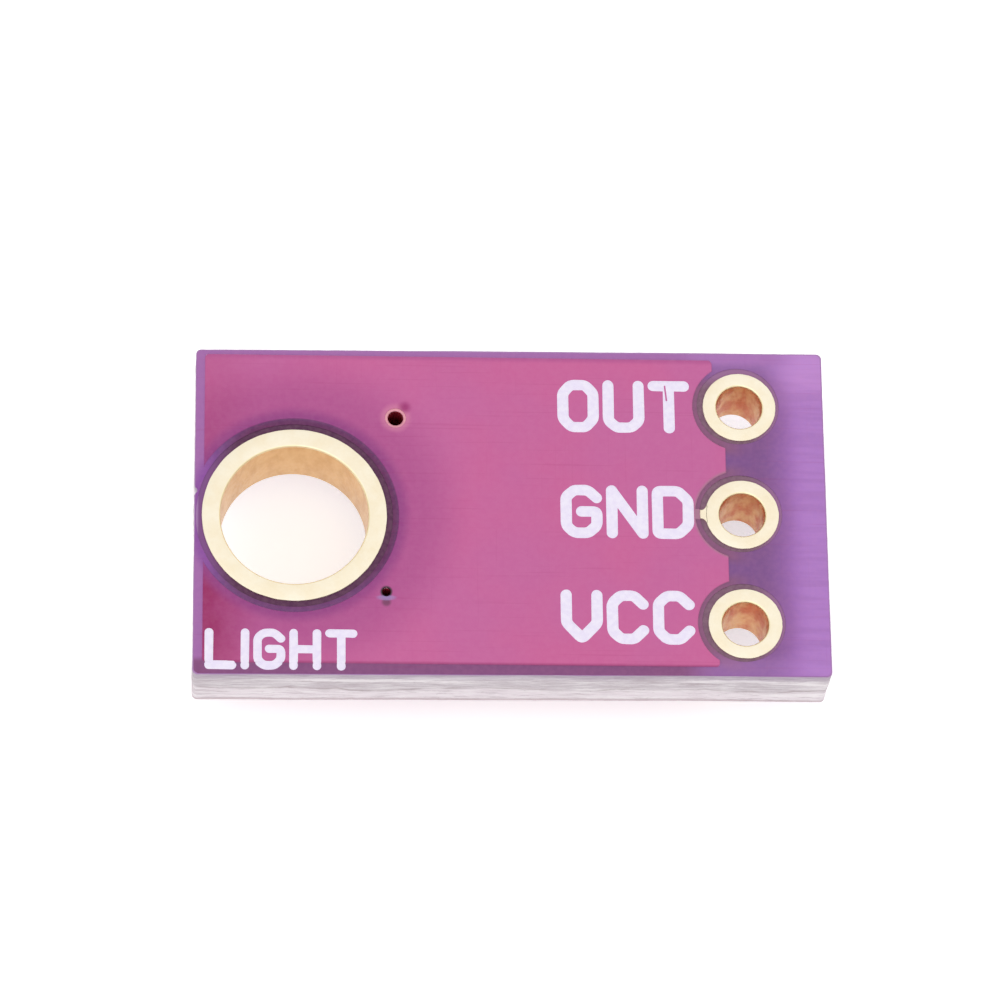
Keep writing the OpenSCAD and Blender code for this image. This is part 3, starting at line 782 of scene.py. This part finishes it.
def die_look(low, high):
    """Chip face: metal rim, dark lane, bluish light-sensing area; plain silicon at the sides."""
    look = Look("chip", IOR=2.2)
    x, y, z = look.axes()
    mid = (low + high) / 2
    half = (high.x - low.x) / 2
    across = look.math("ABSOLUTE", look.math("SUBTRACT", x, mid.x))
    along = look.math("ABSOLUTE", look.math("SUBTRACT", y, mid.y))
    reach = look.math("MAXIMUM", across, along)
    grain = look.noise(12, 3)
    area = look.mix(look.span(grain, 0.3, 0.7), linear(52, 58, 92), linear(40, 46, 78))
    lane = look.span(reach, half - 0.13, half - 0.115)
    rim = look.math("MULTIPLY", look.span(reach, half - 0.1, half - 0.085), look.span(reach, half - 0.045, half - 0.06))
    base = look.mix(lane, area, linear(26, 27, 38))
    base = look.mix(rim, base, linear(166, 160, 150))
    look.colour(base)
    look.roughness(look.span(grain, 0.3, 0.7, 0.14, 0.24))
    look.bump(rim, 0.002)
    return look.material


MASK = mask_look()
EDGE = edge_look()
FACE = face_look()
GOLD = gold_look("pale_gold", linear(243, 234, 213), linear(240, 228, 202), 0.42, 12, 0.003)
VIA_GOLD = gold_look("via_gold", linear(224, 164, 174), linear(212, 148, 164), 0.5, 30, 0.004)
SENSOR_GOLD = gold_look("sensor_gold", linear(246, 222, 160), linear(236, 204, 132), 0.25, 18, 0.002)
FOIL = gold_look("plated_foil", linear(240, 228, 200), linear(234, 216, 180), 0.4, 10, 0.004)
LIP = gold_look("lip_gold", linear(247, 237, 202), linear(243, 229, 188), 0.36, 10, 0.003)
BORE = bore_look("wide_bore", linear(224, 183, 130), linear(213, 168, 114), 0.005)
PIN_BORE = bore_look("pin_bore", linear(226, 172, 114), linear(204, 110, 62), 0.012)
PRINT = print_look()
EPOXY = epoxy_look()
# Painted shade: the via's narrow bore is given a near-black red in place of its plating, for the darkness deep in the
# hole.
VIA_BORE_SHADE = plain_look("via_bore_shade", linear(150, 28, 42), linear(112, 16, 32), 0.5, 20, 0.005)
CARRIER = plain_look("carrier_plate", linear(226, 222, 200), linear(206, 200, 172), 0.5, 9, 0.004)
CHIP = die_look(*limits("sensor_die"))
ADHESIVE = plain_look("silver_adhesive", linear(170, 170, 172), linear(130, 130, 134), 0.45, 30, 0.006)
ALUMINA = plain_look("alumina", linear(238, 238, 234), linear(222, 222, 216), 0.55, 22, 0.003)
FILM = plain_look("resistive_film", linear(50, 50, 54), linear(34, 34, 38), 0.5, 25, 0.003)
GLAZE = plain_look("black_glaze", linear(30, 30, 32), linear(18, 18, 20), 0.22, 4, 0.004)
TIN = gold_look("matt_tin", linear(214, 214, 216), linear(196, 196, 200), 0.38, 20, 0.005)
SOLDER = gold_look("solder", linear(222, 223, 226), linear(200, 202, 206), 0.2, 9, 0.01)


# Board

def wall_shift(point, along, z, share):
    """How far the sawn edge stands out at a place round the board; share is 0 at the lower face, 1 at the upper."""
    sway = 0.09 * noise.noise(Vector((along * 0.35, share * 1.5, 6.4)))
    ply = min(max(share + sway, 0), 0.999) * PLY_COUNT
    number = int(ply)
    across = ply - number
    own = 0.03 * noise.noise(Vector((along * 0.55, number * 7.3, 1.7)))
    groove = 0.008 * (1 - math.sin(math.pi * across) ** 0.7)
    torn = 0.012 * noise.noise(Vector((along * 5, z * 9, 4.1)))
    fibre = 0.006 * noise.noise(Vector((along * 22, z * 22, 8.3)))
    shift = own - groove + torn + fibre - 0.012
    near_face = min(share, 1 - share) / 0.06
    if near_face < 1:
        shift *= min(1, 0.35 + near_face)
    if point.x < BOARD_LOW.x + 0.01:
        shift -= NICK_DEPTH * share ** 2 * math.exp(-((point.y - NICK_Y) / NICK_R) ** 2)
    return shift


def board_core():
    """Laminate: flat faces with drilled holes and a sawn, slightly ragged edge."""
    outline = Box(BOARD_LOW.x, BOARD_HIGH.x, BOARD_LOW.y, BOARD_HIGH.y, BOARD_CORNER_R)
    rough_loop = [Vector(p) for p in outline.outline(0)]
    loop, normals, runs = [], [], []
    travelled = 0.0
    for a, b in zip(rough_loop, rough_loop[1:] + rough_loop[:1]):
        length = (b - a).length
        if length < 1e-9:
            continue
        steps = max(1, round(length / WALL_COLUMN))
        for i in range(steps):
            point = a.lerp(b, i / steps)
            loop.append(point)
            runs.append(travelled + length * i / steps)
        travelled += length
    for i, point in enumerate(loop):
        run = loop[(i + 1) % len(loop)] - loop[i - 1]
        normals.append(Vector((run.y, -run.x)).normalized())
    mesh_data = bmesh.new()
    rows = []
    for j in range(WALL_ROWS + 1):
        share = j / WALL_ROWS
        z = UNDER_Z + (TOP_Z - UNDER_Z) * share
        row = []
        for point, normal, run in zip(loop, normals, runs):
            fade = min(run, travelled - run, 1.0)
            out = point + normal * wall_shift(point, run, z, share) * fade
            row.append(mesh_data.verts.new((out.x, out.y, z)))
        rows.append(row)
    for low, high in zip(rows, rows[1:]):
        for i in range(len(loop)):
            k = (i + 1) % len(loop)
            mesh_data.faces.new((low[i], low[k], high[k], high[i]))
    drilled = Drawing()
    drilled.add([Disc(pin.x, pin.y, PIN_BORE_R + BARREL_T) for pin in PINS])
    drilled.add([Disc(MOUNT.x, MOUNT.y, MOUNT_BORE_R + BARREL_T)])
    drilled.add([Disc(via.x, via.y, VIA_BORE_R + BARREL_T) for via in (UPPER_VIA, LOWER_VIA)])
    for row in (rows[0], rows[-1]):
        z = row[0].co.z
        edge_loop = [(vertex.co.x, vertex.co.y) for vertex in row]
        loops = [edge_loop] + drilled.outlines(0)
        by_place = {(round(x, 5), round(y, 5)): vertex for (x, y), vertex in zip(edge_loop, row)}

        def keep(x, y):
            return drilled.distance(x, y) > 0 and inside(edge_loop, outline, x, y)

        corners, kept = triangles_between(loops, keep)
        made = {}
        for face in kept:
            ring = []
            for i in face:
                if i not in made:
                    x, y = corners[i]
                    shared = by_place.get((round(x, 5), round(y, 5)))
                    made[i] = shared or mesh_data.verts.new((x, y, z))
                ring.append(made[i])
            try:
                mesh_data.faces.new(ring).material_index = 1
            except ValueError:
                pass
    return mesh_data


def inside(loop, outline, x, y):
    """Whether a place lies within a slightly uneven loop."""
    if outline.distance(x, y) < -0.1:
        return True
    found = False
    for (ax, ay), (bx, by) in zip(loop, loop[1:] + loop[:1]):
        if (ay > y) != (by > y) and x < ax + (y - ay) / (by - ay) * (bx - ax):
            found = not found
    return found


def sawn_askew(piece):
    """Turns the outline a little against the holes, as the saw left it."""
    drawn = Box(FOIL_LOW.x, PIN_X + PIN_RING_R + 0.3, FOIL_LOW.y, FOIL_HIGH.y)
    for vertex in piece.data.vertices:
        x, y = vertex.co.x / MM, vertex.co.y / MM
        share = min(max(drawn.distance(x, y) / 0.15, 0), 1)
        if x > 0:
            vertex.co.x += share * SAWN_SHIFT.x * MM
        vertex.co.y += share * min(SAWN_SHIFT.y + SAWN_TURN * x, SAWN_MOST) * MM


core = new_piece("board_core", board_core(), [EDGE, FACE])
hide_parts("pcb_laminate")

top_openings = hole_openings().add([Disc(UPPER_VIA.x, UPPER_VIA.y, VIA_RING_R - 0.02)])
top_openings.add([Disc(BOARD_LOW.x, NICK_Y, NICK_R + 0.01)])
top_openings.add([Disc(LOWER_VIA.x, LOWER_VIA.y + 0.08, TORN_R)])
top_film = new_piece(
    "label_side_mask", mask_film(top_copper(), top_openings, [LOWER_VIA], TOP_Z, 1), [MASK]
)
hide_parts("top_mask")

bottom_openings = hole_openings()
for side in (1, -1):
    bottom_openings.add([sensor_land(side, LAND_SIDE), resistor_land(side, LAND_SIDE)])
bottom_vias = [UPPER_VIA, LOWER_VIA]
bottom_film = new_piece(
    "sensor_side_mask", mask_film(bottom_copper(), bottom_openings, bottom_vias, UNDER_Z, -1), [MASK]
)
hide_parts("bottom_mask")
for piece in (core, top_film, bottom_film):
    sawn_askew(piece)


# Plated holes

def spoke_stub(mesh_data, base_z, up):
    """Plated end of the ground spoke that shows in the ground pin's opening."""
    spoke = ground_spoke()
    ring = Disc(PIN_X, 0, PIN_RING_R - 0.02)
    opening = Disc(PIN_X + MASK_SHIFT.x, MASK_SHIFT.y, PIN_RING_R + PIN_OPENING + 0.01)
    shape = Drawing().add([spoke])
    for i in range(FILLET_STEPS):
        share = i / FILLET_STEPS
        half = SPOKE_W * (0.5 + 0.6 * (1 - share) ** 2)
        near = PIN_X - PIN_RING_R + 0.05
        shape.add([Box(near - 0.13 * (share + 0.2), near, -half, half, 0.02)])

    def keep(x, y):
        return shape.distance(x, y) < 0 and ring.distance(x, y) > 0 and opening.distance(x, y) < 0

    loops = shape.outlines(0) + shape.outlines(-0.01)
    loops += [ring.outline(0), ring.outline(0.003), opening.outline(0)]

    def height(x, y):
        return RING_T - 0.006 * min(max(1 + shape.distance(x, y) / 0.01, 0), 1)

    stub = relief(loops, keep, height, base_z, up)
    copy = bpy.data.meshes.new("stub")
    stub.to_mesh(copy)
    stub.free()
    mesh_data.from_mesh(copy)
    bpy.data.meshes.remove(copy)


mount_data = bmesh.new()
lathe(mount_data, plated_profile(MOUNT_BORE_R, MOUNT_RING_R, RING_T, RING_T), MOUNT.x, MOUNT.y, 0.006)
mount_plating = new_piece("mounting_plating", mount_data, [GOLD, BORE, LIP], smooth=True)
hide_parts("mounting_hole_plating")

for pin, name in zip(PINS, ("out", "ground", "supply")):
    pin_data = bmesh.new()
    lathe(pin_data, plated_profile(PIN_BORE_R, PIN_RING_R, RING_T, RING_T), pin.x, pin.y, 0.006)
    if name == "ground":
        spoke_stub(pin_data, TOP_Z, 1)
        spoke_stub(pin_data, UNDER_Z, -1)
    plating = new_piece(name + "_plating", pin_data, [GOLD, PIN_BORE, LIP], smooth=True)
    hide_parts("pad_" + name)

for name, via, high_t in (("upper_via", UPPER_VIA, RING_T), ("lower_via", LOWER_VIA, FOIL_T)):
    via_data = bmesh.new()
    lathe(via_data, plated_profile(VIA_BORE_R, VIA_RING_R, FOIL_T, high_t), via.x, via.y, 0.004)
    via_piece = new_piece(name + "_plating", via_data, [VIA_GOLD, VIA_BORE_SHADE, VIA_GOLD], smooth=True)
    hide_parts(name)


# White print: letters as pen lines in a box of width and height 1

GLYPHS = {
    "C": [[(1, 0.8), (0.7, 1), (0.28, 1), (0, 0.82), (0, 0.18), (0.28, 0), (0.7, 0), (1, 0.2)]],
    "D": [[(0, 0), (0, 1), (0.68, 1), (1, 0.78), (1, 0.22), (0.68, 0), (0, 0)]],
    "G": [[(1, 0.82), (0.72, 1), (0.26, 1), (0, 0.84), (0, 0.16), (0.26, 0), (0.72, 0), (1, 0.18), (1, 0.5), (0.5, 0.5)]],
    "H": [[(0, 0), (0, 1)], [(1, 0), (1, 1)], [(0, 0.5), (1, 0.5)]],
    "I": [[(0.5, 0), (0.5, 1)]],
    "L": [[(0, 1), (0, 0), (1, 0)]],
    "N": [[(0, 0), (0, 1), (1, 0), (1, 1)]],
    "O": [[(0.26, 0), (0, 0.2), (0, 0.8), (0.26, 1), (0.74, 1), (1, 0.8), (1, 0.2), (0.74, 0), (0.26, 0)]],
    "T": [[(0, 1), (1, 1)], [(0.5, 1), (0.5, 0)]],
    "U": [[(0, 1), (0, 0.16), (0.26, 0), (0.74, 0), (1, 0.16), (1, 1)]],
    "V": [[(0, 1), (0, 0.36), (0.5, 0), (1, 0.36), (1, 1)]],
}
TOP_AREA = ground_area()
SHARP = "NHTIL"
CORNER_REACH = 0.08
PRINT_T = 0.016


def rounded(points, reach):
    """The same line with its corners turned in short curves."""
    closed = (points[0] - points[-1]).length < 1e-9
    corners = points[:-1] if closed else points
    line = [] if closed else [points[0]]
    for i, corner in enumerate(corners):
        if not closed and i in (0, len(corners) - 1):
            continue
        before, after = corners[i - 1], corners[(i + 1) % len(corners)]
        into = corner + (before - corner).normalized() * reach
        out = corner + (after - corner).normalized() * reach
        for step in range(5):
            t = step / 4
            line.append(into.lerp(corner, t).lerp(corner.lerp(out, t), t))
    line.append(line[0] if closed else points[-1])
    return line


def letter(glyph, x, y, width, height, pen, wear=()):
    """Raised ink of one letter whose pen lines fill the given box, draped over the lacquer."""
    ink = Drawing()
    for line in GLYPHS[glyph]:
        points = [Vector((x + px * width, y + py * height)) for px, py in line]
        if glyph not in SHARP:
            points = rounded(points, CORNER_REACH)
        ink.add(strokes_between(points, pen))
    for start, end, scratch_w in wear:
        ink.cut([Stroke((x + start[0], y + start[1]), (x + end[0], y + end[1]), scratch_w)])
    loops = ink.outlines(0) + ink.outlines(-pen * 0.1) + ink.outlines(-pen * 0.25)
    if y - pen < FOIL_LOW.y:
        for step in (0, MASK_SLOPE / 3, 2 * MASK_SLOPE / 3, MASK_SLOPE):
            loops.append(TOP_AREA.steps[0][1].outline(step))

    def crown(px, py):
        share = min(max(-ink.distance(px, py) / (pen * 0.25), 0), 1)
        return lacquer_level(TOP_AREA, px, py) + PRINT_T * (1 - (1 - share) ** 2) - 0.001

    return relief(loops, lambda px, py: ink.distance(px, py) < 0, crown, TOP_Z, 1, wall=False)


def word(text, x, y, width, height, pen, gap):
    """Letters side by side; the box is measured on the pen's middle line."""
    for i, glyph in enumerate(text):
        wide = 0 if glyph == "I" else width
        ink = letter(glyph, x, y, wide, height, pen, WEAR.get((text, i), ()))
        x += wide + gap
        for vertex in ink.verts:
            place = vertex.co * 6
            vertex.co.x += 0.006 * noise.noise(place)
            vertex.co.y += 0.006 * noise.noise(place + Vector((40, 0, 0)))
        new_piece(f"print_{text.lower()}_{i + 1}", ink, [PRINT], smooth=True)


# Fine scratches through the print: word and letter, then start, end and width
WEAR = {("OUT", 2): [((0.255, 1.0), (0.285, 0.66), 0.03)]}
PIN_PEN = 0.25
PIN_LETTER = (0.665, 1.0)
PIN_LETTER_GAP = 0.33
for text, x, y in (("OUT", 1.17, 2.01), ("GND", 1.205, -0.48), ("VCC", 1.17, -2.93)):
    word(text, x, y, *PIN_LETTER, PIN_PEN, PIN_LETTER_GAP)
word("LIGHT", -6.5, -3.62, 0.5, 0.74, 0.19, 0.27)


# Sensor and resistor on the hidden side

def soften(node, width, segments=2):
    """Small round edges on a CAD node, added without touching its own mesh."""
    bevel = nodes[node].modifiers.new("round_edges", "BEVEL")
    bevel.width = width * MM
    bevel.segments = segments
    bevel.limit_method = "ANGLE"
    bevel.angle_limit = math.radians(40)
    bevel.use_clamp_overlap = True


def clear_moulding():
    """Clear block cast over the chip, with sloping ends and soft edges."""
    low, high = limits("sensor_moulding")
    lean = (high.z - low.z) * math.tan(math.radians(6))
    mesh_data = bmesh.new()
    corners = []
    for z, shrink in ((high.z, 0), (low.z, lean)):
        y = high.y - shrink
        corners.append([mesh_data.verts.new((sx, sy, z)) for sx, sy in (
            (low.x, -y), (high.x, -y), (high.x, y), (low.x, y)
        )])
    foot, crown = corners
    mesh_data.faces.new(foot)
    mesh_data.faces.new(crown)
    for i in range(4):
        k = (i + 1) % 4
        mesh_data.faces.new((foot[i], foot[k], crown[k], crown[i]))
    edges = [e for e in mesh_data.edges if any(v.co.z < high.z - 0.01 for v in e.verts)]
    bmesh.ops.bevel(mesh_data, geom=edges, offset=0.05, segments=4, profile=0.6, affect="EDGES")
    return mesh_data


def wire_ends():
    """Middles of the bond wire's two ends, in millimetres: on the chip and on the terminal."""
    points = [vertex.co / MM for vertex in nodes["bond_wire"].data.vertices]
    chip_y = (limits("sensor_die")[0].y + limits("sensor_die")[1].y) / 2
    points.sort(key=lambda point: abs(point.y - chip_y))
    ends = []
    for group in (points[:10], points[-10:]):
        ends.append(sum(group, Vector((0, 0, 0))) / len(group))
    return ends


def bond(name, place, foot_z, rx, ry, height):
    """Flat round foot by which the bond wire is welded on; z points down on this side."""
    foot = bmesh.new()
    bmesh.ops.create_uvsphere(foot, u_segments=24, v_segments=12, radius=1)
    for vertex in foot.verts:
        squared = max(abs(vertex.co.z), 1e-6) ** 0.6 * (1 if vertex.co.z > 0 else -1)
        vertex.co = Vector((vertex.co.x * rx, vertex.co.y * ry, squared * height / 2))
        vertex.co += Vector((place.x, place.y, foot_z - height / 2 + 0.001))
    new_piece(name, foot, [SENSOR_GOLD], smooth=True)


on_chip, on_terminal = wire_ends()
bond("chip_bond", on_chip, limits("sensor_die")[0].z, 0.042, 0.042, 0.03)
bond("terminal_bond", on_terminal, limits("bond_wire")[1].z, 0.034, 0.06, 0.014)

moulding = new_piece("clear_moulding", clear_moulding(), [EPOXY], smooth=True)
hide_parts("sensor_moulding")


def assign(material, *names):
    """Gives CAD nodes a finish in place of the frame's plain one."""
    for name in names:
        slots = nodes[name].data.materials
        slots.clear()
        slots.append(material)


assign(FOIL, "top_ground_foil", "bottom_ground_foil", "signal_track", "supply_track")
assign(CARRIER, "sensor_carrier")
assign(SENSOR_GOLD, "emitter_terminal", "collector_terminal", "bond_wire")
assign(CHIP, "sensor_die")
assign(ADHESIVE, "die_adhesive")
assign(ALUMINA, "resistor_ceramic")
assign(FILM, "resistor_film")
assign(GLAZE, "resistor_glaze")
assign(TIN, "resistor_signal_cap", "resistor_ground_cap")
assign(SOLDER, "emitter_solder", "collector_solder", "resistor_signal_solder", "resistor_ground_solder")
for name in ("resistor_signal_cap", "resistor_ground_cap"):
    soften(name, 0.02, 3)
soften("sensor_carrier", 0.008)


# Floor, light and camera

def light_path(tree, *rays):
    """1 where a ray is of one of the given kinds."""
    paths = tree.nodes.new("ShaderNodeLightPath")
    found = paths.outputs[rays[0]]
    for ray in rays[1:]:
        either = tree.nodes.new("ShaderNodeMath")
        either.operation = "MAXIMUM"
        tree.links.new(found, either.inputs[0])
        tree.links.new(paths.outputs[ray], either.inputs[1])
        found = either.outputs[0]
    return found


def plain_floor():
    """Pale floor on which the module lies, white to the camera and to gloss, and clear from below."""
    mesh_data = bmesh.new()
    bmesh.ops.create_grid(mesh_data, x_segments=8, y_segments=8, size=FLOOR_HALF)
    for vertex in mesh_data.verts:
        vertex.co = (vertex.co - Vector((0, 0, FLOOR_GAP))) * MM
    mesh = bpy.data.meshes.new("floor")
    mesh_data.to_mesh(mesh)
    mesh_data.free()
    floor = bpy.data.objects.new("floor", mesh)
    bpy.context.scene.collection.objects.link(floor)
    material = bpy.data.materials.new("pale_floor")
    material.use_nodes = True
    tree = material.node_tree
    shader = tree.nodes["Principled BSDF"]
    shader.inputs["Base Color"].default_value = (0.86, 0.86, 0.86, 1)
    shader.inputs["Roughness"].default_value = 0.9
    shader.inputs["Specular IOR Level"].default_value = 0.1
    shader.inputs["Emission Color"].default_value = (1, 1, 1, 1)
    lift = tree.nodes.new("ShaderNodeMath")
    lift.operation = "MULTIPLY"
    tree.links.new(light_path(tree, "Is Camera Ray", "Is Glossy Ray", "Is Transmission Ray"), lift.inputs[0])
    lift.inputs[1].default_value = FLOOR_LIFT
    tree.links.new(lift.outputs[0], shader.inputs["Emission Strength"])
    clear = tree.nodes.new("ShaderNodeBsdfTransparent")
    side = tree.nodes.new("ShaderNodeNewGeometry")
    choose = tree.nodes.new("ShaderNodeMixShader")
    tree.links.new(side.outputs["Backfacing"], choose.inputs[0])
    tree.links.new(shader.outputs[0], choose.inputs[1])
    tree.links.new(clear.outputs[0], choose.inputs[2])
    tree.links.new(choose.outputs[0], tree.nodes["Material Output"].inputs["Surface"])
    mesh.materials.append(material)


def soft_world():
    """Even pale surroundings, white where the camera, gloss or glass sees them."""
    world = bpy.data.worlds.new("studio")
    world.use_nodes = True
    bpy.context.scene.world = world
    tree = world.node_tree
    plain = tree.nodes["Background"]
    plain.inputs["Color"].default_value = (1, 1, 1, 1)
    plain.inputs["Strength"].default_value = WORLD_LEVEL
    white = tree.nodes.new("ShaderNodeBackground")
    white.inputs["Color"].default_value = (1, 1, 1, 1)
    white.inputs["Strength"].default_value = 1.0
    choose = tree.nodes.new("ShaderNodeMixShader")
    seen_by = light_path(tree, "Is Camera Ray", "Is Glossy Ray", "Is Transmission Ray")
    tree.links.new(seen_by, choose.inputs[0])
    tree.links.new(plain.outputs[0], choose.inputs[1])
    tree.links.new(white.outputs[0], choose.inputs[2])
    tree.links.new(choose.outputs[0], tree.nodes["World Output"].inputs["Surface"])


def soft_box(name, place, size, level):
    """Square lamp that faces the module; level is what it adds to a white face turned to it."""
    data = bpy.data.lights.new(name, "AREA")
    data.shape = "SQUARE"
    data.size = size * MM
    distance = place.length * MM
    data.energy = level * math.pi * math.pi * distance * distance
    lamp = bpy.data.objects.new(name, data)
    lamp.location = place * MM
    lamp.rotation_euler = (-place).to_track_quat("-Z", "Y").to_euler()
    bpy.context.scene.collection.objects.link(lamp)


WORLD_LEVEL = 0.84
FLOOR_LIFT = 0.5
FLOOR_GAP = 0.004
FLOOR_HALF = 400.0
plain_floor()
soft_world()
soft_box("key_lamp", Vector((-80, -110, 170)), 260, 0.20)
soft_box("fill_lamp", Vector((90, 70, 160)), 260, 0.07)

# Camera as fitted to the photograph: its place from the middle of the upper face, and where it looks
CAMERA_PLACE = Vector((-7.251, -45.031, 108.984))
CAMERA_RIGHT = Vector((0.998148, -0.011074, 0.059811))
CAMERA_AHEAD = Vector((0.059486, 0.383070, -0.921802))
LENS = 196.17

camera_data = bpy.data.cameras.new("camera")
camera_data.lens = LENS
camera_data.sensor_width = 36.0
camera_data.clip_start = 0.001
camera_data.clip_end = 20.0
camera = bpy.data.objects.new("camera", camera_data)
bpy.context.scene.collection.objects.link(camera)
back = -CAMERA_AHEAD.normalized()
right = (CAMERA_RIGHT - back * CAMERA_RIGHT.dot(back)).normalized()
up = back.cross(right)
turned = Matrix((right, up, back)).transposed().to_4x4()
camera.matrix_world = Matrix.Translation((CAMERA_PLACE + Vector((0, 0, FOIL_HIGH.z))) * MM) @ turned
bpy.context.scene.camera = camera
bpy.context.scene.view_settings.view_transform = "Standard"
